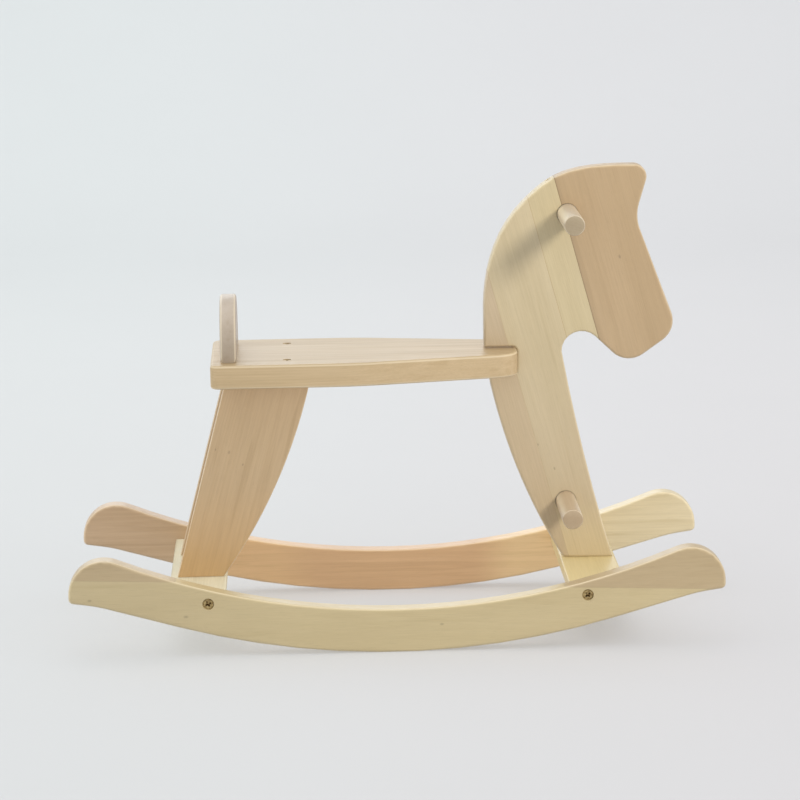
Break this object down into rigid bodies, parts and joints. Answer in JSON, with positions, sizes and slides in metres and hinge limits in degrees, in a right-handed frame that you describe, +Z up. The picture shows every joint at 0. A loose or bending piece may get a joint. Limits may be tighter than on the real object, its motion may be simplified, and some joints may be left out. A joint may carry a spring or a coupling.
{
  "type": "rocking horse",
  "caption": "Wooden toddler rocking horse: flat board seat on slanting legs, horse-head panel with through handle and foot peg, low backrest and two curved rockers",
  "frame": {"origin": "on the floor, midway between the two rockers and midway along them", "axes": "+X towards the head, +Y to the horse's left, +Z up"},
  "size_m": [0.656, 0.252, 0.4708],
  "materials": {
    "pale_wood": "bare sanded poplar, pale cream, satin",
    "warm_wood": "bare sanded poplar, light brown heartwood, satin",
    "pink_wood": "bare sanded poplar, pinkish beige, satin",
    "dowel_wood": "turned beech dowel, bare, satin",
    "screw_steel": "yellow-bronze plated wood screw, semi-gloss"
  },
  "bodies": {
    "root": {"left_rocker": "pale_wood", "right_rocker": "pale_wood", "front_crossbar": "pale_wood", "rear_crossbar": "pale_wood", "main_stave": "pale_wood", "middle_stave": "pale_wood", "seat_board": "warm_wood", "left_rear_leg": "warm_wood", "right_rear_leg": "warm_wood", "head_front_stave": "warm_wood", "backrest": "pink_wood", "neck_rear_stave": "pink_wood", "leg_rear_stave": "pink_wood", "handle_dowel": "dowel_wood", "foot_peg_dowel": "dowel_wood", "left_front_crossbar_pin": "dowel_wood", "left_rear_crossbar_pin": "dowel_wood", "right_front_crossbar_pin": "dowel_wood", "right_rear_crossbar_pin": "dowel_wood", "left_leg_pin": "dowel_wood", "right_leg_pin": "dowel_wood", "seat_front_pin": "dowel_wood", "left_front_rocker_screw": "screw_steel", "left_rear_rocker_screw": "screw_steel", "right_front_rocker_screw": "screw_steel", "right_rear_rocker_screw": "screw_steel", "left_seat_screw": "screw_steel", "right_seat_screw": "screw_steel", "left_backrest_screw": "screw_steel", "right_backrest_screw": "screw_steel", "left_leg_screw": "screw_steel", "right_leg_screw": "screw_steel", "front_leg_screw_1": "screw_steel", "front_leg_screw_2": "screw_steel", "handle_lock_screw": "screw_steel", "foot_peg_lock_screw": "screw_steel"}
  },
  "joints": []
}
